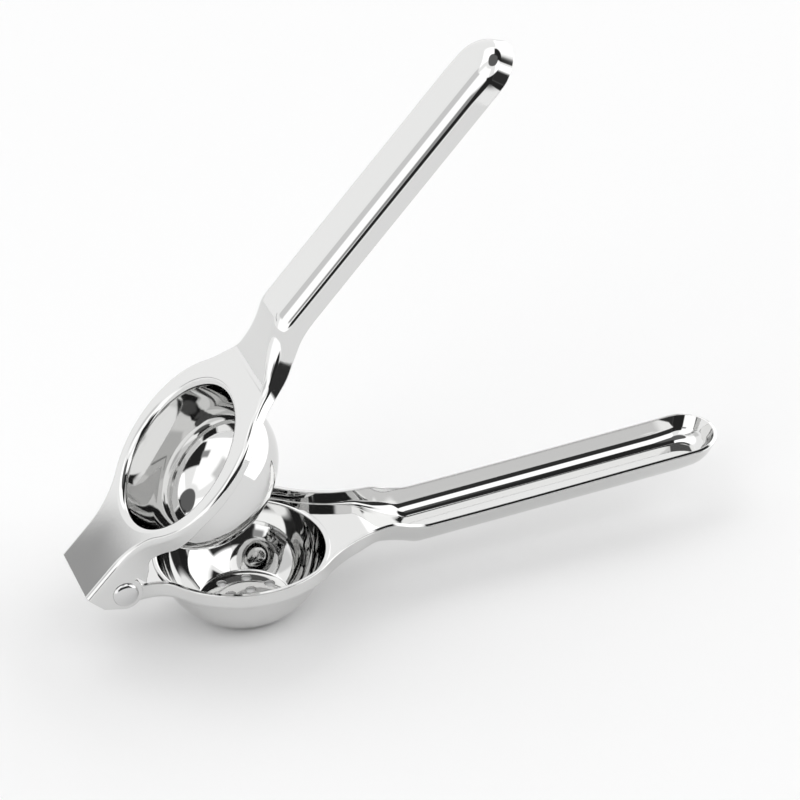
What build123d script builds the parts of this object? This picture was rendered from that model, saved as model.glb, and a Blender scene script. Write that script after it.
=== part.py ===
from build123d import *
import math
import os

os.makedirs("parts", exist_ok=True)

# ---------------------------------------------------------------- driving dimensions, mm
# Each arm is drawn in its own frame: the hinge pin axis is Y through the origin, X runs along the arm,
# and +Z points out through the web, so the flanges hang towards -Z.
sheet = 1.6                    # thickness of both arm stampings
pin_x, pin_z = -48.0, 27.1     # pin axis in the object's frame, whose origin is under the strainer floor
open_angle = 45.5              # between the two ring planes as drawn

handle_half = 13.75            # half width of both channel handles
tip_x, tip_corner = 235.4, 10.0
ring_round, handle_round = 2.0, 6.5

# upper arm: web face, hinge end, ear half width, end of the straight ears
up_web, up_end, up_ear, up_flare = 11.3, -9.0, 15.6, 6.0
up_ring = (52.0, -2.3, 37.7)   # centre and radius of the arc that draws the ring's outline
up_neck = 108.0                # station where the neck arc runs out into the handle
up_bend = (88.0, 12.0, 25.0, 1.24, 16.4)      # S-bend: start, radius, sweep, slope of the handle after it in degrees, straight run
up_lobe = 6.4

# lower arm
lo_web, lo_end, lo_ear, lo_flare = 6.6, -4.0, 13.4, 9.0
lo_ring = (49.0, -2.3, 36.8)
lo_neck = 104.0
lo_bend = (93.0, 10.0, 24.0, -1.96, 12.3)
lo_lobe = 6.2

# press cup and strainer bowl
cup_x, cup_floor = 49.3, -23.7 # the cup's axis and the inside of its floor in the upper arm's frame
cup_in, cup_wall = 27.7, 1.0
cup_dish, cup_corner = 36.3, 16.5       # inner radii of the dished floor and of the turn into the wall
collar_wall, collar_drop, lip_round = 1.6, 4.3, 2.7
bowl_x, bowl_z = 48.0, -0.5    # centre of the bowl's sphere from the pin, Z up
bowl_out, bowl_wall = 31.7, 1.0
floor_z = -27.1                # underside of the strainer floor from the pin, Z up
bowl_seat_r, bowl_flange_r, bowl_flange_t = 31.5, 32.3, 0.8
hole_d, hole_ring_out, hole_ring_in = 3.6, 12.4, 5.5

# hinge hardware
shank_d, ear_bore, run_bore = 5.0, 5.04, 5.1
head_d, head_h, head_edge = 9.4, 1.7, 0.8
set_d, set_h = 8.4, 1.3
washer_d, washer_t = 9.6, 0.45
sleeve_d = 7.4

# ---------------------------------------------------------------- the two arms' planes
a = math.radians(open_angle)
lower_plane = Plane(origin=(pin_x, 0, pin_z), x_dir=(1, 0, 0), z_dir=(0, 0, -1))
upper_plane = Plane(origin=(pin_x, 0, pin_z), x_dir=(math.cos(a), 0, math.sin(a)),
                    z_dir=(-math.sin(a), 0, math.cos(a)))


def unit(p, q):
    d = math.hypot(q[0] - p[0], q[1] - p[1])
    return (q[0] - p[0]) / d, (q[1] - p[1]) / d


def blend_radius(ring, half, station):
    """Radius of the arc tangent to the line y = half at the station and to the outside of the ring arc."""
    rx, ry, rr = ring
    return ((rx - station) ** 2 - rr ** 2 + (half - ry) ** 2) / (2 * (rr - (half - ry)))


def on_circle(c, r, p, q):
    """Point of the circle half way between the directions of p and q."""
    u, v = unit(c, p), unit(c, q)
    m = unit((0, 0), (u[0] + v[0], u[1] + v[1]))
    return c[0] + r * m[0], c[1] + r * m[1]


def ring_form(web, end, ear, flare, ring, neck, inset, radius):
    """The solid under the flat ring web, its upper edge rounded."""
    rx, ry, rr = ring
    rf, rn = blend_radius(ring, ear, flare), blend_radius(ring, handle_half, neck)
    cf, cn, cr = (flare, ear + rf), (neck, handle_half + rn), (rx, ry)
    uf, un = unit(cr, cf), unit(cr, cn)
    p0 = (flare, ear - inset)
    p1 = (rx + (rr - inset) * uf[0], ry + (rr - inset) * uf[1])
    p2 = (rx + (rr - inset) * un[0], ry + (rr - inset) * un[1])
    p3 = (neck, handle_half - inset)
    start = end if inset == 0 else end - 8.0
    with BuildPart() as form:
        with BuildSketch(Plane.XY.offset(-30)):
            with BuildLine():
                Polyline((start, 0), (start, ear - inset), p0)
                ThreePointArc(p0, on_circle(cf, rf + inset, p0, p1), p1)
                ThreePointArc(p1, on_circle(cr, rr - inset, p1, p2), p2)
                ThreePointArc(p2, on_circle(cn, rn + inset, p2, p3), p3)
                Line(p3, (neck, 0))
                mirror(about=Plane.XZ)
            make_face()
        extrude(amount=30 + web - inset)
        top = form.faces().sort_by(Axis.Z)[-1]
        rim = top.edges().filter_by(lambda e: start + 0.01 < e.center().X < neck - 0.01)
        fillet(rim, radius=radius)
    return form.part


def handle_form(web, bend, inset, radius):
    """The solid under the S-bend and the handle web, out to the rounded tip."""
    x0, rb, sweep, slope, run = bend
    w, tip = handle_half - inset, tip_x - inset
    with BuildPart() as form:
        with BuildSketch(Plane.XZ):
            with BuildLine():
                Line((x0 - 2, web - inset), (x0, web - inset))
                b1 = JernArc((x0, web - inset), (1, 0), rb + inset, sweep)
                ramp = (b1 @ 1).X + run, (b1 @ 1).Y + run * math.tan(math.radians(sweep))
                Line(b1 @ 1, ramp)
                b2 = JernArc(ramp, b1 % 1, rb - inset, slope - sweep)
                end = b2 @ 1
                high = end.Y + math.tan(math.radians(slope)) * (tip - end.X)
                Line(end, (tip, high))
                Polyline((tip, high), (tip, -29), (x0 - 2, -29), (x0 - 2, web - inset))
            make_face()
        extrude(amount=w, both=True)
        fillet(form.edges().filter_by(Axis.Z).filter_by(lambda e: e.center().X > tip - 1), radius=tip_corner - inset)
        rim = form.edges().filter_by(lambda e: e.center().Z > web - inset - 0.5 and e.center().X > x0 - 1.9
                                     and not (e.center().X < tip - 3 and abs(e.center().Y) < 1)
                                     and e.bounding_box().size.Z < 14 and not (e.bounding_box().size.X < 0.01
                                     and e.bounding_box().size.Y < 0.01))
        fillet(rim, radius=radius)
    return form.part


# construction forms: outside skin and hollow of each arm
up_skin = [ring_form(up_web, up_end, up_ear, up_flare, up_ring, up_neck, 0.0, ring_round),
           handle_form(up_web, up_bend, 0.0, handle_round)]
up_core = [ring_form(up_web, up_end, up_ear, up_flare, up_ring, up_neck, sheet, ring_round - sheet),
           handle_form(up_web, up_bend, sheet, handle_round - sheet)]
lo_skin = [ring_form(lo_web, lo_end, lo_ear, lo_flare, lo_ring, lo_neck, 0.0, ring_round),
           handle_form(lo_web, lo_bend, 0.0, handle_round)]
lo_core = [ring_form(lo_web, lo_end, lo_ear, lo_flare, lo_ring, lo_neck, sheet, ring_round - sheet),
           handle_form(lo_web, lo_bend, sheet, handle_round - sheet)]

# ---------------------------------------------------------------- upper arm
with BuildPart() as upper_form:
    add(up_skin)
    add(up_core, mode=Mode.SUBTRACT)
    # edge line of the flanges, with the hinge ear, the relief slot and the tab beside it
    with BuildSketch(Plane.XZ):
        with BuildLine():
            e0 = (up_end, 2.6)
            at = math.atan2(e0[1], e0[0]) + math.acos(up_lobe / math.hypot(*e0))
            e1 = (up_lobe * math.cos(at), up_lobe * math.sin(at))
            Polyline((up_end - 1, 60), (up_end - 1, e0[1]), e0, e1)
            ThreePointArc(e1, (0, -up_lobe), (up_lobe, 0))
            Polyline((up_lobe, 0), (up_lobe, 0.9), (7.4, 0.9), (7.2, -3.7), (12.6, -0.2), (14.2, 1.7), (16.5, 3.0), (26, 3.0))
            Spline((26, 3.0), (34, 4.8), (44, 6.6), tangents=[(1, 0), (1, 0)])
            Line((44, 6.6), (84, 6.6))
            Spline((84, 6.6), (92, 5.8), (98, 6.1), (105, 8.5), (112, 11.1), (120, 12.1), tangents=[(1, 0), (1, 0.0216)])
            Polyline((120, 12.1), (250, 12.1 + 130 * 0.0216), (250, 60), (up_end - 1, 60))
        make_face()
    extrude(amount=60, both=True, mode=Mode.INTERSECT)
    # ring opening with its rolled-down collar
    with Locations((cup_x, 0, 0)):
        Cylinder(radius=31.0, height=20, align=(Align.CENTER, Align.CENTER, Align.MIN), mode=Mode.SUBTRACT)
    with BuildSketch(Plane.XZ.move(Location((cup_x, 0, 0)))):
        with BuildLine():
            rt, rc = cup_in + lip_round, cup_in + collar_wall
            zi = lip_round - sheet
            k = 1 - math.sqrt(0.5)
            Polyline((rt, up_web), (31.0, up_web), (31.0, up_web - sheet), (rc + zi, up_web - sheet))
            ThreePointArc((rc + zi, up_web - sheet), (rc + zi * k, up_web - sheet - zi * k), (rc, up_web - sheet - zi))
            Polyline((rc, up_web - sheet - zi), (rc, up_web - collar_drop), (cup_in, up_web - collar_drop), (cup_in, up_web - lip_round))
            ThreePointArc((cup_in, up_web - lip_round), (cup_in + lip_round * k, up_web - lip_round * k), (rt, up_web))
        make_face()
    revolve(axis=Axis((cup_x, 0, 0), (0, 0, 1)))
    # pin bores through both ears
    with Locations((0, 0, 0)):
        Cylinder(radius=ear_bore / 2, height=60, rotation=(90, 0, 0), mode=Mode.SUBTRACT)

# ---------------------------------------------------------------- lower arm
with BuildPart() as lower_form:
    add(lo_skin)
    add(lo_core, mode=Mode.SUBTRACT)
    with BuildSketch(Plane.XZ):
        with BuildLine():
            e0 = (lo_end, math.sqrt(lo_lobe ** 2 - lo_end ** 2))
            e2 = (math.sqrt(lo_lobe ** 2 - 0.04), -0.2)
            Polyline((lo_end - 1, 60), (lo_end - 1, e0[1] + 0.4), (lo_end, e0[1] + 0.4), e0)
            ThreePointArc(e0, (0, -lo_lobe), e2)
            Polyline(e2, (9.0, -0.2), (14.0, 0), (97, 0))
            Spline((97, 0), (103, 0.35), (110, 2.8), (117, 4.15), tangents=[(1, 0), (1, -0.0342)])
            Polyline((117, 4.15), (250, 4.15 - 133 * 0.0342), (250, 60), (lo_end - 1, 60))
        make_face()
    extrude(amount=60, both=True, mode=Mode.INTERSECT)
    with Locations((bowl_x, 0, 0)):
        Cylinder(radius=bowl_seat_r, height=20, align=(Align.CENTER, Align.CENTER, Align.MIN), mode=Mode.SUBTRACT)
    with Locations((0, 0, 0)):
        Cylinder(radius=run_bore / 2, height=60, rotation=(90, 0, 0), mode=Mode.SUBTRACT)

with BuildPart() as upper_arm:
    add(Location(upper_plane) * upper_form.part)
with BuildPart() as lower_arm:
    add(Location(lower_plane) * lower_form.part)

# ---------------------------------------------------------------- press cup, butted under the collar
with BuildPart() as press_form:
    with BuildSketch(Plane.XZ):
        with BuildLine():
            ro, top = cup_in + cup_wall, up_web - collar_drop
            s = math.sqrt(0.5)
            dish_z, turn_r = cup_floor + cup_dish, cup_in - cup_corner
            turn_z = dish_z - math.sqrt((cup_dish - cup_corner) ** 2 - turn_r ** 2)
            lean = math.atan2(turn_r, dish_z - turn_z)

            def on_dish(grow, t):
                return (cup_dish + grow) * math.sin(t), dish_z - (cup_dish + grow) * math.cos(t)

            def on_turn(grow, t):
                return turn_r + (cup_corner + grow) * math.cos(t), turn_z - (cup_corner + grow) * math.sin(t)

            half_turn = (math.pi / 2 - lean) / 2
            Polyline((cup_in, turn_z), (cup_in, top), (ro, top), (ro, turn_z))
            ThreePointArc((ro, turn_z), on_turn(cup_wall, half_turn), on_dish(cup_wall, lean))
            ThreePointArc(on_dish(cup_wall, lean), on_dish(cup_wall, lean / 2), (0, cup_floor - cup_wall))
            Line((0, cup_floor - cup_wall), (0, cup_floor))
            ThreePointArc((0, cup_floor), on_dish(0, lean / 2), on_dish(0, lean))
            ThreePointArc(on_dish(0, lean), on_turn(0, half_turn), (cup_in, turn_z))
        make_face()
    revolve(axis=Axis.Z)
with BuildPart() as press_cup:
    add(Location(upper_plane) * Location((cup_x, 0, 0)) * press_form.part)

# ---------------------------------------------------------------- strainer bowl, its flange on the web's inner face
with BuildPart() as strainer_bowl:
    bx, zc, zf = pin_x + bowl_x, pin_z + bowl_z, pin_z + floor_z
    seat = pin_z - lo_web + sheet                    # inner face of the lower web
    bi = bowl_out - bowl_wall
    with BuildSketch(Plane.XZ):
        with BuildLine():
            lip = 0.9
            z_top = seat + bowl_flange_t
            ro_f, ri_f = math.sqrt(bowl_out ** 2 - (zc - zf) ** 2), math.sqrt(bi ** 2 - (zc - zf - bowl_wall) ** 2)
            ro_s, ri_s = math.sqrt(bowl_out ** 2 - (zc - seat) ** 2), math.sqrt(bi ** 2 - (zc - z_top + lip) ** 2)
            def arc_mid(r, z1, z2):
                t1, t2 = math.asin((z1 - zc) / r), math.asin((z2 - zc) / r)
                return r * math.cos((t1 + t2) / 2), zc + r * math.sin((t1 + t2) / 2)
            Line((0, zf), (ro_f, zf))
            ThreePointArc((ro_f, zf), arc_mid(bowl_out, zf, seat), (ro_s, seat))
            Polyline((ro_s, seat), (bowl_flange_r, seat), (bowl_flange_r, z_top), (ri_s + lip, z_top))
            ThreePointArc((ri_s + lip, z_top), (ri_s + lip * (1 - s), z_top - lip * (1 - s)), (ri_s, z_top - lip))
            ThreePointArc((ri_s, z_top - lip), arc_mid(bi, z_top - lip, zf + bowl_wall), (ri_f, zf + bowl_wall))
            Polyline((ri_f, zf + bowl_wall), (0, zf + bowl_wall), (0, zf))
        make_face()
    revolve(axis=Axis.Z)
    fillet(strainer_bowl.edges().filter_by(GeomType.CIRCLE).filter_by(lambda e: abs(e.center().Z - zf) < 0.01), radius=1.2)
    with BuildSketch(Plane.XY.offset(zf - 1)):
        with PolarLocations(hole_ring_out, 8, start_angle=22.5):
            Circle(hole_d / 2)
        with PolarLocations(hole_ring_in, 4, start_angle=45):
            Circle(hole_d / 2)
    extrude(amount=4, mode=Mode.SUBTRACT)

# ---------------------------------------------------------------- hinge hardware along the pin axis
side = Plane(origin=(pin_x, 0, pin_z), x_dir=(1, 0, 0), z_dir=(0, -1, 0))      # +Z of this plane is the near side, -Y
with BuildPart() as hinge_rivet:
    with BuildSketch(side.offset(-up_ear - set_h + 0.1)):
        Circle(shank_d / 2)
    extrude(amount=2 * up_ear + set_h - 0.1)
    with BuildSketch(side.offset(up_ear)):
        Circle(head_d / 2)
    extrude(amount=head_h)
    fillet(hinge_rivet.faces().sort_by(Axis.Y)[0].edges(), radius=head_edge)

with BuildPart() as rivet_set_washer:
    with BuildSketch(side.offset(-up_ear - set_h)):
        Circle(set_d / 2)
        Circle(shank_d / 2, mode=Mode.SUBTRACT)
    extrude(amount=set_h)
    fillet(rivet_set_washer.faces().sort_by(Axis.Y)[-1].edges().sort_by(SortBy.LENGTH)[-1], radius=0.5)

with BuildPart() as hinge_washers:
    for y0 in (up_ear - sheet - washer_t, -(up_ear - sheet)):
        with BuildSketch(side.offset(y0)):
            Circle(washer_d / 2)
            Circle(run_bore / 2, mode=Mode.SUBTRACT)
        extrude(amount=washer_t)

with BuildPart() as hinge_sleeve:
    with BuildSketch(side.offset(-(lo_ear - sheet))):
        Circle(sleeve_d / 2)
        Circle(run_bore / 2, mode=Mode.SUBTRACT)
    extrude(amount=2 * (lo_ear - sheet))

for node, sub in (("upper_arm", upper_arm), ("lower_arm", lower_arm), ("press_cup", press_cup),
                  ("strainer_bowl", strainer_bowl), ("hinge_rivet", hinge_rivet),
                  ("rivet_set_washer", rivet_set_washer), ("hinge_washers", hinge_washers),
                  ("hinge_sleeve", hinge_sleeve)):
    sub.part.label = node
    export_step(sub.part, "parts/" + node + ".step")
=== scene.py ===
import math

import bpy
import numpy as np
from mathutils import Matrix, Vector
from mathutils.geometry import delaunay_2d_cdt


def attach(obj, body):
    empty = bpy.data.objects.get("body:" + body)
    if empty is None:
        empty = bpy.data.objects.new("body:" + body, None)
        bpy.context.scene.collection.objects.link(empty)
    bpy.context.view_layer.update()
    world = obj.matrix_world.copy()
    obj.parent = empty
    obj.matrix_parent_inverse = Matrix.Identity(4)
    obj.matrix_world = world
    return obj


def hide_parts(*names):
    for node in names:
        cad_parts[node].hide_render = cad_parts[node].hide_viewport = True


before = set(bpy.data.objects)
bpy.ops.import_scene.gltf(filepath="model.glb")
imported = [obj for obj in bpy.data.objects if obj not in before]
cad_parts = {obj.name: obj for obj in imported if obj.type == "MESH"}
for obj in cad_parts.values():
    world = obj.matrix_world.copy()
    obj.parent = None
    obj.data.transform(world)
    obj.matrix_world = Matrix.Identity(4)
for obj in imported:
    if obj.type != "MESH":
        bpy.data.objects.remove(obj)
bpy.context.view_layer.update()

# ------------------------------------------------------------------ dimensions, mm, as in the CAD
SHEET = 1.6
PIN = (-48.0, 0.0, 27.1)
OPEN = math.radians(45.5)
HALF, TIP, TIP_CORNER = 13.75, 235.4, 13.2
RING_ROUND = 2.0

# ring outline, S-bend of the web, and the handle's section: slant of its wall in degrees, wall length, corner radii, height
UPPER = dict(web=11.3, end=-9.0, ear=15.6, flare=6.0, ring=(52.0, -2.3, 37.7), neck=108.0,
             bend=(88.0, 12.0, math.radians(25.0), math.radians(1.24), 16.4),
             blend=(84.0, 108.0), draft=18.0, wall=4.6, radii=(4.8, 10.0, 5.5), height=9.0, tip_draft=8.0)
LOWER = dict(web=6.6, end=-4.0, ear=13.4, flare=9.0, ring=(49.0, -2.3, 36.8), neck=104.0,
             bend=(93.0, 10.0, math.radians(24.0), math.radians(-1.96), 12.3),
             blend=(86.0, 110.0), draft=17.8, wall=4.75, radii=(7.4, 7.0, 7.4), height=9.6, tip_draft=8.0)
CUP_X, CUP_FLOOR, CUP_IN, CUP_WALL = 49.3, -23.7, 27.7, 1.0
CUP_DISH, CUP_CORNER = 36.3, 16.5
COLLAR_DROP, LIP_ROUND = 4.3, 2.7
BOWL_Z, BOWL_OUT, BOWL_WALL, FLOOR_Z = -0.5, 31.7, 1.0, -27.1
BOWL_SEAT_R, BOWL_FLANGE_R, BOWL_FLANGE_T = 31.5, 32.3, 0.8
HOLE_R, HOLES_OUT, HOLES_IN = 1.8, 12.4, 5.5
HEAD_R, HEAD_H = 4.7, 1.7

a = OPEN
UPPER_M = Matrix(((math.cos(a), 0, -math.sin(a), PIN[0]), (0, 1, 0, 0), (math.sin(a), 0, math.cos(a), PIN[2]), (0, 0, 0, 1)))
LOWER_M = Matrix(((1, 0, 0, PIN[0]), (0, -1, 0, 0), (0, 0, -1, PIN[2]), (0, 0, 0, 1)))


# ------------------------------------------------------------------ mesh helpers
class Shell:
    """A mesh in the making, with one normal per vertex."""

    def __init__(self):
        self.v, self.n, self.f = [], [], []

    def add(self, p, n):
        self.v.append(np.array(p, float))
        n = np.array(n, float)
        self.n.append(n / (np.linalg.norm(n) or 1.0))
        return len(self.v) - 1

    def face(self, *idx):
        clean = [i for k, i in enumerate(idx) if i != idx[k - 1]]
        if len(clean) > 2:
            self.f.append(tuple(clean))


def make_object(name, verts, faces, normals, matrix, body, material, nodes):
    """A smooth mesh object from mm coordinates in a local frame; normals are per vertex or per face corner."""
    m = np.array(matrix, float)
    v = (np.array(verts, float) @ m[:3, :3].T + m[:3, 3]) * 0.001
    mesh = bpy.data.meshes.new(name)
    mesh.from_pydata(v.tolist(), [], [list(f) for f in faces])
    mesh.shade_smooth()
    rot = m[:3, :3]
    if isinstance(normals[0], (list, tuple)):
        flat = np.array([n for face in normals for n in face], float) @ rot.T
        mesh.normals_split_custom_set([tuple(x) for x in flat])
    else:
        flat = np.array(normals, float) @ rot.T
        mesh.normals_split_custom_set_from_vertices([tuple(x) for x in flat])
    obj = bpy.data.objects.new(name, mesh)
    bpy.context.scene.collection.objects.link(obj)
    mesh.materials.append(material)
    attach(obj, body)
    if nodes:
        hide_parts(*nodes)
    return obj


def smooth(lo, hi, x):
    t = min(1.0, max(0.0, (x - lo) / (hi - lo)))
    return t * t * (3 - 2 * t)


def web_curve(web, bend):
    """Height of the web's outer face and its slope angle, along the arm."""
    x0, rb, sweep, slope, run = bend
    x1, z1 = x0 + rb * math.sin(sweep), web + rb * (1 - math.cos(sweep))
    xm, zm = x1 + run, z1 + run * math.tan(sweep)
    x2 = xm + rb * (math.sin(sweep) - math.sin(slope))
    z2 = zm + rb * (math.cos(slope) - math.cos(sweep))

    def at(x):
        if x <= x0:
            return web, 0.0
        if x <= x1:
            t = math.asin((x - x0) / rb)
            return web + rb * (1 - math.cos(t)), t
        if x <= xm:
            return z1 + (x - x1) * math.tan(sweep), sweep
        if x <= x2:
            t = math.asin(math.sin(sweep) - (x - xm) / rb)
            return zm + rb * (math.cos(t) - math.cos(sweep)), t
        return z2 + (x - x2) * math.tan(slope), slope

    return at


def half_outline(end, ear, flare, ring, neck):
    """Stations (x, y, nx, ny) of the plan outline's +y half, from the hinge end round to the middle of the tip."""
    rx, ry, rr = ring

    def blend(half, station):
        return ((rx - station) ** 2 - rr ** 2 + (half - ry) ** 2) / (2 * (rr - (half - ry)))

    rf, rn = blend(ear, flare), blend(HALF, neck)
    out = []

    def line(p, q, n, count):
        for i in range(count):
            t = i / count
            out.append((p[0] + (q[0] - p[0]) * t, p[1] + (q[1] - p[1]) * t, n[0], n[1]))

    def arc(c, r, t0, t1, sign, step):
        count = max(4, int(abs(t1 - t0) * r / step))
        for i in range(count):
            t = t0 + (t1 - t0) * i / count
            out.append((c[0] + r * math.cos(t), c[1] + r * math.sin(t), sign * math.cos(t), sign * math.sin(t)))

    line((end, ear), (flare, ear), (0, 1), 10)
    cf = (flare, ear + rf)
    t1 = math.atan2(ry - cf[1], rx - cf[0])
    arc(cf, rf, -math.pi / 2, t1, -1, 0.8)
    cn = (neck, HALF + rn)
    u0 = math.atan2(cf[1] - ry, cf[0] - rx)
    u1 = math.atan2(cn[1] - ry, cn[0] - rx)
    arc((rx, ry), rr, u0, u1, 1, 0.9)
    w0 = math.atan2(ry - cn[1], rx - cn[0])
    if w0 > 0:
        w0 -= 2 * math.pi
    arc(cn, rn, w0, -math.pi / 2, -1, 0.8)
    line((neck, HALF), (126.0, HALF), (0, 1), 24)
    line((126.0, HALF), (TIP - TIP_CORNER, HALF), (0, 1), 40)
    arc((TIP - TIP_CORNER, HALF - TIP_CORNER), TIP_CORNER, math.pi / 2, 0.0, 1, 0.45)
    line((TIP, HALF - TIP_CORNER), (TIP, 0.0), (1, 0), 2)
    out.append((TIP, 0.0, 1.0, 0.0))
    return out


def catmull(points, x):
    """Smooth single-valued curve through the points, level at both ends unless told otherwise by its neighbours."""
    xs = [p[0] for p in points]
    if x <= xs[0]:
        return points[0][1]
    for i in range(len(points) - 1):
        if x <= xs[i + 1]:
            (xa, ya), (xb, yb) = points[i], points[i + 1]
            sl = (yb - ya) / (xb - xa)

            def tangent(k):
                if k == 0 or k == len(points) - 1:
                    return 0.0 if k == 0 else (points[k][1] - points[k - 1][1]) / (xs[k] - xs[k - 1])
                return (points[k + 1][1] - points[k - 1][1]) / (xs[k + 1] - xs[k - 1])

            m0, m1, h = tangent(i), tangent(i + 1), xb - xa
            t = (x - xa) / h
            return ((2 * t ** 3 - 3 * t ** 2 + 1) * ya + (t ** 3 - 2 * t ** 2 + t) * h * m0
                    + (-2 * t ** 3 + 3 * t ** 2) * yb + (t ** 3 - t ** 2) * h * m1)
    return points[-1][1] + (x - xs[-1]) * sl


def fill(points, loops):
    """Triangles, as point numbers, of the plane region inside the first loop and outside the others."""
    edges = [(loop[i - 1], loop[i]) for loop in loops for i in range(len(loop))]
    got = delaunay_2d_cdt([Vector(p) for p in points], edges, [], 0, 1e-7, True)
    rings = [np.array([points[i] for i in loop], float) for loop in loops]

    def within(ring, x, y):
        a, b = ring, np.roll(ring, -1, axis=0)
        cross = (a[:, 1] > y) != (b[:, 1] > y)
        dy = np.where(cross, b[:, 1] - a[:, 1], 1.0)
        return bool((cross & (x < a[:, 0] + (y - a[:, 1]) / dy * (b[:, 0] - a[:, 0]))).sum() % 2)

    out = []
    for tri in got[2]:
        ids = [got[3][i][0] for i in tri]
        (ax, ay), (bx, by), (cx, cy) = (points[i][:2] for i in ids)
        reach = max(math.hypot(bx - ax, by - ay), math.hypot(cx - bx, cy - by), math.hypot(ax - cx, ay - cy))
        if abs((bx - ax) * (cy - ay) - (by - ay) * (cx - ax)) < 3e-4 * reach:      # points in line along an edge
            continue
        x, y = (ax + bx + cx) / 3, (ay + by + cy) / 3
        if within(rings[0], x, y) and not any(within(r, x, y) for r in rings[1:]):
            out.append(ids)
    return out


def handle_profile(draft, wall, radii, height, counts=(5, 4, 5)):
    """Points (in from the outline, below the web) and steps, from the top of a slanted wall round into the web."""
    top = 90.0 - math.degrees(draft)
    a, d = wall * math.sin(draft), height - wall * math.cos(draft)
    pts, steps = [np.array((a, d))], []
    bounds = (top, 48.0, 26.0, 0.0)
    for i in range(3):
        r, t0, t1 = radii[i], math.radians(bounds[i]), math.radians(bounds[i + 1])
        first = pts[-1]
        step = (t0 - t1) / counts[i]
        for k in range(counts[i] + 1):
            t = t0 - k * step
            tangent = np.array((math.cos(t), -math.sin(t))) * r * step
            if k:
                pts.append(first + r * np.array((math.sin(t0) - math.sin(t), math.cos(t0) - math.cos(t))))
                steps.append(tangent)
            elif not steps:
                steps.append(tangent)
    pts = np.array(pts)
    pts[:, 1] -= np.linspace(0, 1, len(pts)) ** 2 * pts[-1, 1]
    return pts, np.array(steps)


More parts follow.
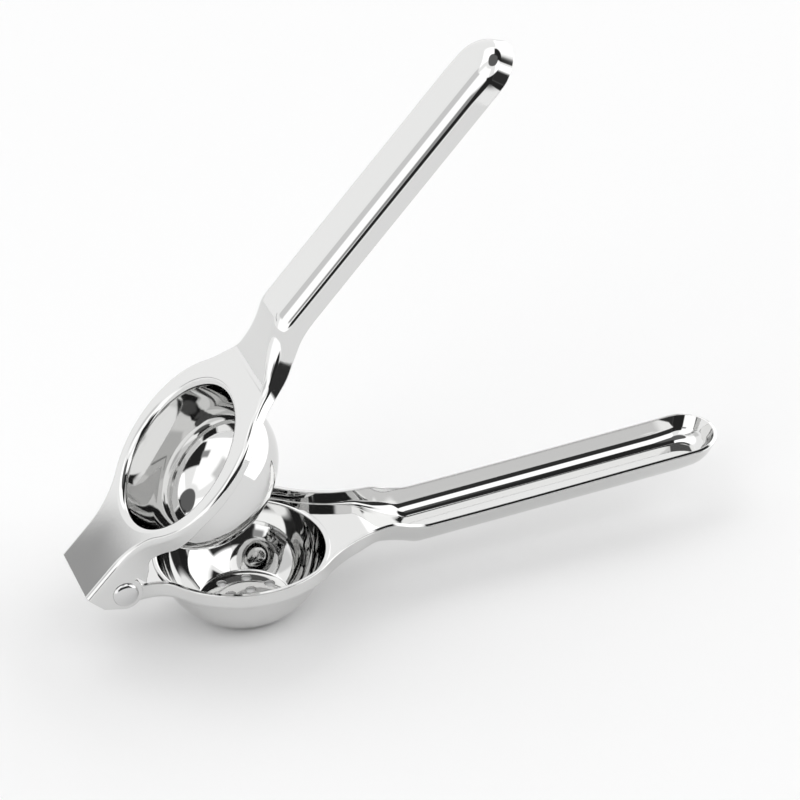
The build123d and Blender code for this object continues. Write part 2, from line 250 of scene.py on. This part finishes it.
def arm_shell(spec, edge_at, ear_line, bore, hole, collar, rho=0.38):
    """The whole pressed-sheet skin of one arm: skirts, rounded corner, web, opening, turned edge and inner skin."""
    web_at = web_curve(spec["web"], spec["bend"])
    half = half_outline(spec["end"], spec["ear"], spec["flare"], spec["ring"], spec["neck"])
    full = half + [(x, -y, nx, -ny) for x, y, nx, ny in reversed(half[:-1])]
    count, mid = len(full), len(half) - 1
    s = [0.0]
    for i in range(1, count):
        s.append(s[-1] + math.hypot(full[i][0] - full[i - 1][0], full[i][1] - full[i - 1][1]))
    sh = Shell()
    # corner between skirt and web: a plain quarter round on the ring, a slanted wall and three arcs on the handle
    K = 14
    rows = [[] for _ in range(K + 1)]
    foot, top_z, grid = [], [], np.zeros((count, K + 1, 3))
    dirs, along = np.zeros((count, K + 1, 3)), np.zeros((count, K + 1, 3))
    th = np.linspace(0, math.pi / 2, K + 1)
    ring_pts = np.stack([RING_ROUND * (1 - np.cos(th)), RING_ROUND * (1 - np.sin(th))], 1)
    ring_steps = np.stack([np.sin(th), -np.cos(th)], 1) * RING_ROUND * math.pi / 2 / K
    tilt = []
    for j, (x, y, nx, ny) in enumerate(full):
        t, w = smooth(spec["blend"][0], spec["blend"][1], x), smooth(TIP - 22.0, TIP - 3.0, x)
        hp, hs = handle_profile(math.radians(spec["draft"] + w * spec["tip_draft"]), spec["wall"], spec["radii"], spec["height"])
        prof, steps = ring_pts + t * (hp - ring_pts), ring_steps + t * (hs - ring_steps)
        for k in range(K + 1):
            (a, d), (da, dd) = prof[k], steps[k]
            px = x - a * nx
            z, slope = web_at(px)
            grid[j, k] = (px, y - a * ny, z - d)
            along[j, k] = (-da * nx, -da * ny, -da * nx * math.tan(slope) - dd)
            ln = math.hypot(da, dd)
            dirs[j, k] = (-dd / ln * nx, -dd / ln * ny, da / ln)
        slope = web_at(grid[j, K, 0])[1]
        dirs[j, K] = (-math.sin(slope), 0.0, math.cos(slope))
        foot.append(grid[j, K, 0])
        top_z.append(grid[j, 0, 2])
        tilt.append((-steps[0][1], steps[0][0]) / np.hypot(*steps[0]))
    nn = np.cross(along, np.gradient(grid, axis=0))
    nn /= np.maximum(np.linalg.norm(nn, axis=2, keepdims=True), 1e-9)
    nn *= np.sign((nn * dirs).sum(2, keepdims=True))
    nn[:, K] = dirs[:, K]
    nn[:2], nn[-2:] = dirs[:2], dirs[-2:]
    for j in range(count):
        for k in range(K + 1):
            rows[k].append(sh.add(grid[j, k], nn[j, k]))
    for k in range(K):
        for j in range(count - 1):
            sh.face(rows[k][j], rows[k + 1][j], rows[k + 1][j + 1], rows[k][j + 1])
    # skirts: plain strips, and at the ears a mesh inside the outline of ear, slot and tab
    def skirt_vert(q, z):
        px, py = np.interp(q, s, [p[0] for p in full]), np.interp(q, s, [p[1] for p in full])
        nx, ny = np.interp(q, s, [p[2] for p in full]), np.interp(q, s, [p[3] for p in full])
        out, rise = np.interp(q, s, [t[0] for t in tilt]), np.interp(q, s, [t[1] for t in tilt])
        return sh.add((px, py, z), (nx * out, ny * out, rise))

    ear_end = ear_line[-1][0]
    j_first = next(j for j in range(mid) if full[j][0] > ear_end + 0.2)
    s_of = lambda x: float(np.interp(x, [p[0] for p in half[:mid - 40]], s[:mid - 40]))
    first = [(s_of(x), z) for x, z in ear_line]
    low = []
    for i in range(len(first) - 1):
        low.append(first[i])
        for j in range(j_first):
            if s[j] > s_of(7.6) and first[i][0] + 0.2 < s[j] < first[i + 1][0] - 0.2:
                t = (s[j] - first[i][0]) / (first[i + 1][0] - first[i][0])
                low.append((s[j], first[i][1] + t * (first[i + 1][1] - first[i][1])))
    low.append(first[-1])
    low.append((s[j_first], edge_at(full[j_first][0])))
    nt, nb = j_first + 1, len(low)
    points = [(s[j], top_z[j]) for j in range(nt)] + low
    centre = s_of(0.0)
    points += [(centre + bore * math.cos(2 * math.pi * i / 28), bore * math.sin(2 * math.pi * i / 28)) for i in range(28)]
    around = list(range(nt)) + list(range(nt + nb - 1, nt - 1, -1))
    rulings = [[j, nt + i] for i, (q, z) in enumerate(low[:-1]) for j in range(1, nt - 1) if abs(s[j] - q) < 1e-6 and q > s_of(7.6)]
    tris = fill(points, [around, list(range(nt + nb, nt + nb + 28))])
    last_low = []
    for flip in (False, True):
        index = [rows[0][count - 1 - j] if flip else rows[0][j] for j in range(nt)]
        index += [skirt_vert(s[-1] - q if flip else q, z) for q, z in points[nt:]]
        last_low.append(index[nt + nb - 1])
        for tri in tris:
            ids = [index[i] for i in tri]
            sh.face(*(ids if flip else ids[::-1]))
    strip = [last_low[0]] + [skirt_vert(s[j], edge_at(full[j][0])) for j in range(j_first + 1, count - 1 - j_first)] + [last_low[1]]
    for k, j in enumerate(range(j_first, count - 1 - j_first)):
        sh.face(rows[0][j], rows[0][j + 1], strip[k + 1], strip[k])
    # flat ring web with its opening
    x0 = spec["bend"][0]
    j_flat = max(j for j in range(mid) if foot[j] <= x0)
    top = rows[K]
    seg = 112
    up = np.array((0, 0, 1.0))
    hole_x, hole_r = hole
    z_web = spec["web"]
    ring_top = [sh.add((hole_x + hole_r * math.cos(2 * math.pi * i / seg), hole_r * math.sin(2 * math.pi * i / seg), z_web), up)
                for i in range(seg)]
    outer_ids = [top[j] for j in range(j_flat + 1)] + [top[j] for j in range(count - 1 - j_flat, count)]
    ids = outer_ids + ring_top
    no = len(outer_ids)
    for tri in fill([tuple(sh.v[i][:2]) for i in ids], [list(range(no)), list(range(no, no + seg))]):
        sh.face(*[ids[i] for i in tri])
    # bent and straight handle web, ruled across
    j = j_flat
    while j < mid and foot[j + 1] - foot[j] > 1e-5:
        jf = count - 1 - j
        sh.face(top[j + 1], top[j], top[jf], top[jf - 1])
        j += 1
    if j < mid:
        sh.face(*[top[i] for i in range(j, count - j)][::-1])
    # rolled collar of the opening
    seams = []
    if collar:
        L = 8
        prev = ring_top
        for k in range(1, L + 1):
            t = math.pi / 2 * k / L
            r, z = hole_r - LIP_ROUND * math.sin(t), z_web - LIP_ROUND + LIP_ROUND * math.cos(t)
            row = []
            for i in range(seg):
                g = 2 * math.pi * i / seg
                row.append(sh.add((hole_x + r * math.cos(g), r * math.sin(g), z),
                                  (-math.sin(t) * math.cos(g), -math.sin(t) * math.sin(g), math.cos(t))))
            for i in range(seg):
                sh.face(prev[i], prev[(i + 1) % seg], row[(i + 1) % seg], row[i])
            prev = row
        z = z_web - COLLAR_DROP
        row = []
        for i in range(seg):
            g = 2 * math.pi * i / seg
            row.append(sh.add((hole_x + CUP_IN * math.cos(g), CUP_IN * math.sin(g), z), (-math.cos(g), -math.sin(g), 0)))
        for i in range(seg):
            sh.face(prev[i], prev[(i + 1) % seg], row[(i + 1) % seg], row[i])
        seams = row
    # turned edge and inner skin
    half_edges = {}
    for f in sh.f:
        for i in range(len(f)):
            half_edges[(f[i], f[(i + 1) % len(f)])] = True
    border = {i: k for i, k in half_edges if (k, i) not in half_edges}
    outer_count = len(sh.v)
    loops, seen = [], set()
    for start in list(border):
        if start in seen:
            continue
        loop, i = [], start
        while i not in seen:
            seen.add(i)
            loop.append(i)
            i = border[i]
        loops.append(loop)
    co = {}
    seam_set = set(seams)
    for loop in loops:
        m = len(loop)
        for q, i in enumerate(loop):
            before, after = sh.v[loop[q - 1]], sh.v[loop[(q + 1) % m]]
            here, n = sh.v[i], sh.n[i]
            acc = np.zeros(3)
            for d in (here - before, after - here):
                ln = np.linalg.norm(d)
                if ln > 1e-9:
                    c = np.cross(d / ln, n)
                    acc += c / max(np.linalg.norm(c), 1e-9)
            co[i] = acc / max(np.linalg.norm(acc), 1e-9)
    for loop in loops:
        for i in loop:
            rr = 0.02 if i in seam_set else rho
            sh.v[i] = sh.v[i] - rr * co[i]
    inner = [sh.add(sh.v[i] - SHEET * sh.n[i], -sh.n[i]) for i in range(outer_count)]
    for f in list(sh.f):
        sh.face(*[inner[i] for i in reversed(f)])
    for loop in loops:
        rr = 0.02 if loop[0] in seam_set else rho
        rings = [loop]
        Q = 3
        for side in (0, 1):
            for k in range(1 if side == 0 else 0, Q + (1 if side == 0 else 0)):
                t = math.pi / 2 * k / Q
                row = []
                for i in loop:
                    n, c = sh.n[i], co[i]
                    if side == 0:
                        row.append(sh.add(sh.v[i] - rr * n + rr * (math.cos(t) * n + math.sin(t) * c), math.cos(t) * n + math.sin(t) * c))
                    else:
                        row.append(sh.add(sh.v[i] - (SHEET - rr) * n + rr * (math.cos(t) * c - math.sin(t) * n),
                                          math.cos(t) * c - math.sin(t) * n))
                rings.append(row)
        rings.append([inner[i] for i in loop])
        m = len(loop)
        for p, q in zip(rings, rings[1:]):
            for i in range(m):
                sh.face(p[(i + 1) % m], p[i], q[i], q[(i + 1) % m])
    return sh


def turned(name, segments, matrix, body, material, nodes, seg=144, caps=()):
    """A turned piece: segments are lists of (radius, height, normal radius, normal height), meeting end to end."""
    verts, faces, normals, rings = [], [], [], {}

    def ring(r, z):
        key = (round(r, 5), round(z, 5))
        if key not in rings:
            if r < 1e-6:
                verts.append((0, 0, z))
                rings[key] = [len(verts) - 1] * seg
            else:
                ids = []
                for i in range(seg):
                    g = 2 * math.pi * i / seg
                    verts.append((r * math.cos(g), r * math.sin(g), z))
                    ids.append(len(verts) - 1)
                rings[key] = ids
        return rings[key]

    for part in segments:
        for (r0, z0, nr0, nz0), (r1, z1, nr1, nz1) in zip(part, part[1:]):
            p, q = ring(r0, z0), ring(r1, z1)
            for i in range(seg):
                k = (i + 1) % seg
                g0, g1 = 2 * math.pi * i / seg, 2 * math.pi * (i + 1) / seg
                corner = [(p[i], nr0, nz0, g0), (p[k], nr0, nz0, g1), (q[k], nr1, nz1, g1), (q[i], nr1, nz1, g0)]
                use = [c for e, c in enumerate(corner) if c[0] != corner[e - 1][0]]
                if len(use) > 2:
                    v = [np.array(verts[c[0]]) for c in use]
                    nrm = [np.array((c[1] * math.cos(c[3]), c[1] * math.sin(c[3]), c[2])) for c in use]
                    if np.cross(v[1] - v[0], v[2] - v[0]) @ sum(nrm) < 0:
                        use.reverse(), nrm.reverse()
                    faces.append([c[0] for c in use])
                    normals.append([tuple(n / max(np.linalg.norm(n), 1e-9)) for n in nrm])
    for extra in caps:
        extra(verts, faces, normals, rings)
    return make_object(name, verts, faces, normals, matrix, body, material, nodes)


def arc_points(cr, cz, r, t0, t1, count, inward=1):
    out = []
    for i in range(count + 1):
        t = math.radians(t0 + (t1 - t0) * i / count)
        out.append((cr + r * math.cos(t), cz + r * math.sin(t), inward * math.cos(t), inward * math.sin(t)))
    return out


def line_points(p, q, n):
    return [(p[0], p[1], n[0], n[1]), (q[0], q[1], n[0], n[1])]


# ------------------------------------------------------------------ materials
def steel(name, color, rough, rough_var, scratch, smudge=0.02):
    mat = bpy.data.materials.new(name)
    mat.use_nodes = True
    nt = mat.node_tree
    nodes, link = nt.nodes, nt.links.new
    bsdf = nodes["Principled BSDF"]
    bsdf.inputs["Metallic"].default_value = 1.0
    coords = nodes.new("ShaderNodeTexCoord")
    # very faint cloudiness of the polish in colour and gloss
    cloud = nodes.new("ShaderNodeTexNoise")
    cloud.inputs["Scale"].default_value = 22.0
    cloud.inputs["Detail"].default_value = 3.0
    link(coords.outputs["Object"], cloud.inputs["Vector"])
    ramp = nodes.new("ShaderNodeMapRange")
    ramp.inputs["From Min"].default_value, ramp.inputs["From Max"].default_value = 0.3, 0.7
    ramp.inputs["To Min"].default_value, ramp.inputs["To Max"].default_value = rough, rough + rough_var
    link(cloud.outputs["Fac"], ramp.inputs["Value"])
    link(ramp.outputs["Result"], bsdf.inputs["Roughness"])
    mix = nodes.new("ShaderNodeMix")
    mix.data_type = "RGBA"
    mix.inputs["A"].default_value = (*color, 1)
    mix.inputs["B"].default_value = (*[c * (1 - smudge) for c in color], 1)
    link(cloud.outputs["Fac"], mix.inputs["Factor"])
    link(mix.outputs["Result"], bsdf.inputs["Base Color"])
    # hairline polishing marks
    stretch = nodes.new("ShaderNodeMapping")
    stretch.inputs["Scale"].default_value = (60.0, 900.0, 900.0)
    link(coords.outputs["Object"], stretch.inputs["Vector"])
    fine = nodes.new("ShaderNodeTexNoise")
    fine.inputs["Scale"].default_value = 1.0
    fine.inputs["Detail"].default_value = 2.0
    link(stretch.outputs["Vector"], fine.inputs["Vector"])
    bump = nodes.new("ShaderNodeBump")
    bump.inputs["Strength"].default_value = scratch
    bump.inputs["Distance"].default_value = 0.00002
    link(fine.outputs["Fac"], bump.inputs["Height"])
    link(bump.outputs["Normal"], bsdf.inputs["Normal"])
    return mat


polished = steel("polished_steel", (0.70, 0.70, 0.695), 0.03, 0.03, 0.05)
rivet_mat = steel("rivet_steel", (0.64, 0.64, 0.64), 0.10, 0.06, 0.10)
plain = steel("plain_steel", (0.60, 0.60, 0.60), 0.28, 0.10, 0.20)

# ------------------------------------------------------------------ upper arm
UP_EDGE = [(16.5, 3.0), (26, 3.0), (34, 4.8), (44, 6.6), (84, 6.6), (92, 5.8), (98, 6.1), (105, 8.5), (112, 11.1), (120, 12.1), (235.4, 14.59)]
lobe = 6.4
e0 = (-9.0, 2.6)
at0 = math.atan2(e0[1], e0[0]) + math.acos(lobe / math.hypot(*e0))
up_ear = [(-9.0, 2.6)] + [(lobe * math.cos(t), lobe * math.sin(t)) for t in np.linspace(at0, 2 * math.pi, 30)]
up_ear += [(6.42, 0.9), (7.4, 0.9), (7.42, -3.7), (12.6, -0.2), (14.2, 1.7), (16.5, 3.0)]
up = arm_shell(UPPER, lambda x: catmull(UP_EDGE, x), up_ear,
               2.52, (CUP_X, CUP_IN + LIP_ROUND), True)
upper_arm = make_object("upper_arm_shell", up.v, up.f, up.n, UPPER_M, "upper", polished, ["upper_arm"])

# ------------------------------------------------------------------ lower arm
LO_EDGE = [(14.0, 0.0), (97, 0.0), (103, 0.35), (110, 2.8), (117, 4.15), (235.4, 0.1)]
ll = 6.2
t0 = math.atan2(math.sqrt(ll ** 2 - 16.0), -4.0)
lo_ear = [(-4.0, 4.2)] + [(ll * math.cos(t), ll * math.sin(t)) for t in np.linspace(2 * math.pi - t0, 2 * math.pi - 0.032, 24)]
lo_ear += [(9.0, -0.2), (14.0, 0.0)]
lo = arm_shell(LOWER, lambda x: catmull(LO_EDGE, x), lo_ear,
               2.55, (48.0, BOWL_SEAT_R), False)
lower_arm = make_object("lower_arm_shell", lo.v, lo.f, lo.n, LOWER_M, "lower", polished, ["lower_arm"])

# ------------------------------------------------------------------ press cup
ro, top = CUP_IN + CUP_WALL, UPPER["web"] - COLLAR_DROP
dish_z, turn_r = CUP_FLOOR + CUP_DISH, CUP_IN - CUP_CORNER
turn_z = dish_z - math.sqrt((CUP_DISH - CUP_CORNER) ** 2 - turn_r ** 2)
lean = math.atan2(turn_r, dish_z - turn_z)


def cup_arcs(grow, sign):
    """The turn from the wall and the dished floor, from the wall to the axis."""
    out = [(turn_r + (CUP_CORNER + grow) * math.cos(t), turn_z - (CUP_CORNER + grow) * math.sin(t), sign * math.cos(t), -sign * math.sin(t))
           for t in np.linspace(0, math.pi / 2 - lean, 29)]
    out += [((CUP_DISH + grow) * math.sin(t), dish_z - (CUP_DISH + grow) * math.cos(t), sign * math.sin(t), -sign * math.cos(t))
            for t in np.linspace(lean, 0, 25)[1:]]
    out[-1] = (0.0, dish_z - CUP_DISH - grow, 0.0, -sign)
    return out


cup_parts = [
    line_points((CUP_IN, turn_z), (CUP_IN, top), (-1, 0)),
    line_points((CUP_IN, top), (ro, top), (0, 1)),
    line_points((ro, top), (ro, turn_z), (1, 0)),
    cup_arcs(CUP_WALL, 1.0),
    cup_arcs(0.0, -1.0)[::-1],
]
turned("press_cup_shell", cup_parts, UPPER_M @ Matrix.Translation((CUP_X, 0, 0)), "upper", polished, ["press_cup"])

# ------------------------------------------------------------------ strainer bowl, z up from under its floor
zc = -FLOOR_Z + BOWL_Z
bi = BOWL_OUT - BOWL_WALL
seat = -FLOOR_Z - LOWER["web"] + SHEET
z_top = seat + BOWL_FLANGE_T


def tangent_fillet(R, z_plane, r, inside_up):
    """Centre (radius, height) and tangent angles of a fillet between the sphere R about zc and a level plane."""
    cz = z_plane + r
    cr = math.sqrt((R - r) ** 2 - (cz - zc) ** 2)
    return cr, cz, math.degrees(math.atan2(cz - zc, cr))


fo_r, fo_z, fo_a = tangent_fillet(BOWL_OUT, 0.0, 2.2, False)
fi_r, fi_z, fi_a = tangent_fillet(bi, BOWL_WALL, 1.6, True)
t_seat = math.degrees(math.asin((seat - zc) / BOWL_OUT))
lip = 0.8
ri_s = math.sqrt(bi ** 2 - (zc - z_top + lip) ** 2)
t_lip = math.degrees(math.asin((z_top - lip - zc) / bi))
bowl_parts = [
    arc_points(fo_r, fo_z, 2.2, -90, fo_a, 8),
    arc_points(0, zc, BOWL_OUT, fo_a, t_seat, 26),
    line_points((math.sqrt(BOWL_OUT ** 2 - (zc - seat) ** 2), seat), (BOWL_FLANGE_R, seat), (0, -1)),
    line_points((BOWL_FLANGE_R, seat), (BOWL_FLANGE_R, z_top - 0.25), (1, 0)),
    arc_points(BOWL_FLANGE_R - 0.25, z_top - 0.25, 0.25, 0, 90, 4),
    line_points((BOWL_FLANGE_R - 0.25, z_top), (ri_s + lip, z_top), (0, 1)),
    [(ri_s + lip - lip * math.sin(t), z_top - lip + lip * math.cos(t), -math.sin(t), math.cos(t)) for t in np.linspace(0, math.pi / 2, 7)],
    [(r, z, -n1, -n2) for r, z, n1, n2 in arc_points(0, zc, bi, t_lip, fi_a, 26)],
    [(r, z, -n1, -n2) for r, z, n1, n2 in arc_points(fi_r, fi_z, 1.6, fi_a, -90, 7)],
]


def holed_floor(verts, faces, normals, rings):
    """The flat floor, both faces and the walls of its holes, whose edges are broken."""
    centres = [(HOLES_OUT * math.cos(math.radians(22.5 + 45 * i)), HOLES_OUT * math.sin(math.radians(22.5 + 45 * i))) for i in range(8)]
    centres += [(HOLES_IN * math.cos(math.radians(45 + 90 * i)), HOLES_IN * math.sin(math.radians(45 + 90 * i))) for i in range(4)]
    hs, ch = 30, 0.22
    sides = []
    for z, nz, rim in ((0.0, -1.0, rings[(round(fo_r, 5), 0.0)]), (BOWL_WALL, 1.0, rings[(round(fi_r, 5), round(BOWL_WALL, 5))])):
        ids = list(rim)
        circles = []
        for cx, cy in centres:
            start = len(ids)
            for i in range(hs):
                g = 2 * math.pi * i / hs
                verts.append((cx + (HOLE_R + ch) * math.cos(g), cy + (HOLE_R + ch) * math.sin(g), z))
                ids.append(len(verts) - 1)
            circles.append(ids[start:])
        loops = [list(range(len(rim)))] + [list(range(len(rim) + hs * h, len(rim) + hs * (h + 1))) for h in range(len(centres))]
        for tri in fill([tuple(verts[i][:2]) for i in ids], loops):
            f = [ids[i] for i in tri]
            faces.append(f if nz > 0 else f[::-1])
            normals.append([(0, 0, nz)] * 3)
        sides.append(circles)
    for h, (cx, cy) in enumerate(centres):
        lowc, high = sides[0][h], sides[1][h]
        rows = [lowc]
        for z in (ch, BOWL_WALL - ch):
            row = []
            for i in range(hs):
                g = 2 * math.pi * i / hs
                verts.append((cx + HOLE_R * math.cos(g), cy + HOLE_R * math.sin(g), z))
                row.append(len(verts) - 1)
            rows.append(row)
        rows.append(high)
        zs = ((-1.0, 0.0), (0.0, 0.0), (0.0, 1.0))
        for (p, q), (na, nb) in zip(zip(rows, rows[1:]), zs):
            for i in range(hs):
                k = (i + 1) % hs
                f = [p[i], q[i], q[k], p[k]]
                g0, g1 = 2 * math.pi * i / hs, 2 * math.pi * k / hs
                nrm = []
                for g, nz in ((g0, na), (g0, nb), (g1, nb), (g1, na)):
                    w = math.sqrt(1 - min(1, abs(nz) * 0.5))
                    nrm.append((-math.cos(g) * (1 if nz == 0 else 0.7), -math.sin(g) * (1 if nz == 0 else 0.7), nz * 0.7))
                v = [np.array(verts[c]) for c in f]
                if np.cross(v[1] - v[0], v[2] - v[0]) @ np.array((-math.cos(g0), -math.sin(g0), 0)) < 0:
                    f.reverse(), nrm.reverse()
                faces.append(f)
                normals.append(nrm)


turned("strainer_bowl_shell", bowl_parts, Matrix.Identity(4), "lower", polished, ["strainer_bowl"], caps=(holed_floor,))

# ------------------------------------------------------------------ rivet: shank and domed head, axis towards the near side
RIVET_M = Matrix(((1, 0, 0, PIN[0]), (0, 0, -1, 0), (0, 1, 0, PIN[2]), (0, 0, 0, 1)))
near = UPPER["ear"]
small_r, round_r, t_small, t_dome = 0.4, 2.0, math.radians(30), math.radians(76)
round_c = HEAD_R - small_r - (round_r - small_r) * math.cos(t_small)
dome_r = (round_c + round_r * math.cos(t_dome)) / math.cos(t_dome)
dome_cz = near + HEAD_H - dome_r
round_cz = dome_cz + (dome_r - round_r) * math.sin(t_dome)
small_cz = round_cz + (round_r - small_r) * math.sin(t_small)
shank = 2.5
far_end = -(UPPER["ear"] + 1.2)
rivet_parts = [
    line_points((0, far_end), (shank - 0.3, far_end), (0, -1)),
    arc_points(shank - 0.3, far_end + 0.3, 0.3, -90, 0, 4),
    line_points((shank, far_end + 0.3), (shank, near), (1, 0)),
    line_points((shank, near), (HEAD_R, near), (0, -1)),
    line_points((HEAD_R, near), (HEAD_R, small_cz), (1, 0)),
    arc_points(HEAD_R - small_r, small_cz, small_r, 0, 30, 4),
    arc_points(round_c, round_cz, round_r, 30, 76, 10),
    arc_points(0, dome_cz, dome_r, 76, 90, 10),
]
rivet_parts[-1][-1] = (0.0, near + HEAD_H, 0.0, 1.0)
turned("hinge_rivet_shell", rivet_parts, RIVET_M, "upper", rivet_mat, ["hinge_rivet"], seg=72)

for node, mat in (("rivet_set_washer", rivet_mat), ("hinge_washers", plain), ("hinge_sleeve", plain)):
    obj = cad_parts[node]
    obj.data.materials.clear()
    obj.data.materials.append(mat)

# ------------------------------------------------------------------ floor, camera, light
floor_mesh = bpy.data.meshes.new("floor")
S = 3.2
FZ = -0.0001        # just under the strainer's floor, so that the two faces don't share a plane
floor_mesh.from_pydata([(-S, -S, FZ), (S, -S, FZ), (S, S, FZ), (-S, S, FZ)], [], [(0, 1, 2, 3)])
floor = bpy.data.objects.new("floor", floor_mesh)
bpy.context.scene.collection.objects.link(floor)
fmat = bpy.data.materials.new("floor_white")
fmat.use_nodes = True
fb = fmat.node_tree.nodes["Principled BSDF"]
fb.inputs["Base Color"].default_value = (0.93, 0.93, 0.93, 1)
fb.inputs["Roughness"].default_value = 0.9
fb.inputs["Specular IOR Level"].default_value = 0.0
floor_mesh.materials.append(fmat)

cam_data = bpy.data.cameras.new("camera")
cam_data.sensor_width = 36.0
cam_data.lens = 36.0 * 3582.8 / 800.0
cam_data.clip_start, cam_data.clip_end = 0.05, 20.0
cam = bpy.data.objects.new("camera", cam_data)
right = Vector((0.9343, -0.3555, -0.0269))
upv = Vector((0.2178, 0.5095, 0.8324))
back = right.cross(upv).normalized()
upv = back.cross(right).normalized()
right = upv.cross(back).normalized()
cam.matrix_world = Matrix((
    (right.x, upv.x, back.x, -0.2996),
    (right.y, upv.y, back.y, -1.0061),
    (right.z, upv.z, back.z, 0.7817),
    (0, 0, 0, 1)))
bpy.context.scene.collection.objects.link(cam)
bpy.context.scene.camera = cam

# a studio of large soft panels and dark gaps round the piece, by compass angle and height in degrees
world = bpy.data.worlds.new("studio")
bpy.context.scene.world = world
world.use_nodes = True
wn, wl = world.node_tree.nodes, world.node_tree.links.new
bg = wn["Background"]
tc = wn.new("ShaderNodeTexCoord")
sep = wn.new("ShaderNodeSeparateXYZ")
wl(tc.outputs["Generated"], sep.inputs["Vector"])


def math_node(op, *values):
    node = wn.new("ShaderNodeMath")
    node.operation = op
    for i, v in enumerate(values):
        if isinstance(v, (int, float)):
            node.inputs[i].default_value = v
        else:
            wl(v, node.inputs[i])
    return node.outputs[0]


compass = math_node("MULTIPLY", math_node("ARCTAN2", sep.outputs["Y"], sep.outputs["X"]), 180 / math.pi)
height = math_node("MULTIPLY", math_node("ARCSINE", sep.outputs["Z"]), 180 / math.pi)


def window(value, middle, half, soft, wrap):
    """1 inside the range, falling to 0 over the soft width at each end."""
    off = math_node("SUBTRACT", value, middle)
    if wrap:
        off = math_node("WRAP", off, 180.0, -180.0)
    rng = wn.new("ShaderNodeMapRange")
    rng.interpolation_type = "SMOOTHSTEP"
    rng.inputs["From Min"].default_value, rng.inputs["From Max"].default_value = half + soft / 2, half - soft / 2
    wl(math_node("ABSOLUTE", off), rng.inputs["Value"])
    return rng.outputs["Result"]


level = None
PANELS = [
    # from, to, low, high, brightness, soft edge
    (-180, 180, -90, 90, 0.93, 1),
    (-50, 62, -2, 46, 1.45, 8),
    (60, 156, 47, 72, 1.35, 8),
    (126.1, 165, 8.5, 11.1, 0.33, 0.8),
    (-181, -122, -12, 66, 1.20, 5),
    (150, 188.5, 24, 46, 0.66, 6),
    (-88, -36, 43, 71, 1.30, 3),
    (-128, -88, 3, 41, 0.02, 4),
    (-142, -126, 19, 30, 0.30, 5),
    (-90, -50, -4, 42, 0.03, 6),
    (-180, 180, 72.5, 90, 0.12, 2),
    (-27, 66, 51, 76, 0.02, 5),
]
for az0, az1, el0, el1, bright, soft in PANELS:
    if level is None:
        level = bright
        continue
    if el1 == 90:
        mask = window(height, el0 + 50, 50, soft, False)
    else:
        mask = window(height, (el0 + el1) / 2, (el1 - el0) / 2, soft, False)
    if az1 - az0 < 360:
        mask = math_node("MULTIPLY", mask, window(compass, (az0 + az1) / 2, (az1 - az0) / 2, soft, True))
    mix = wn.new("ShaderNodeMix")
    mix.data_type = "FLOAT"
    wl(mask, mix.inputs["Factor"])
    if isinstance(level, float):
        mix.inputs["A"].default_value = level
    else:
        wl(level, mix.inputs["A"])
    mix.inputs["B"].default_value = bright
    level = mix.outputs["Result"]
wl(level, bg.inputs["Color"])
bg.inputs["Strength"].default_value = 1.0

view = bpy.context.scene.view_settings
view.view_transform = "Standard"
view.look = "None"
view.exposure = 0.3
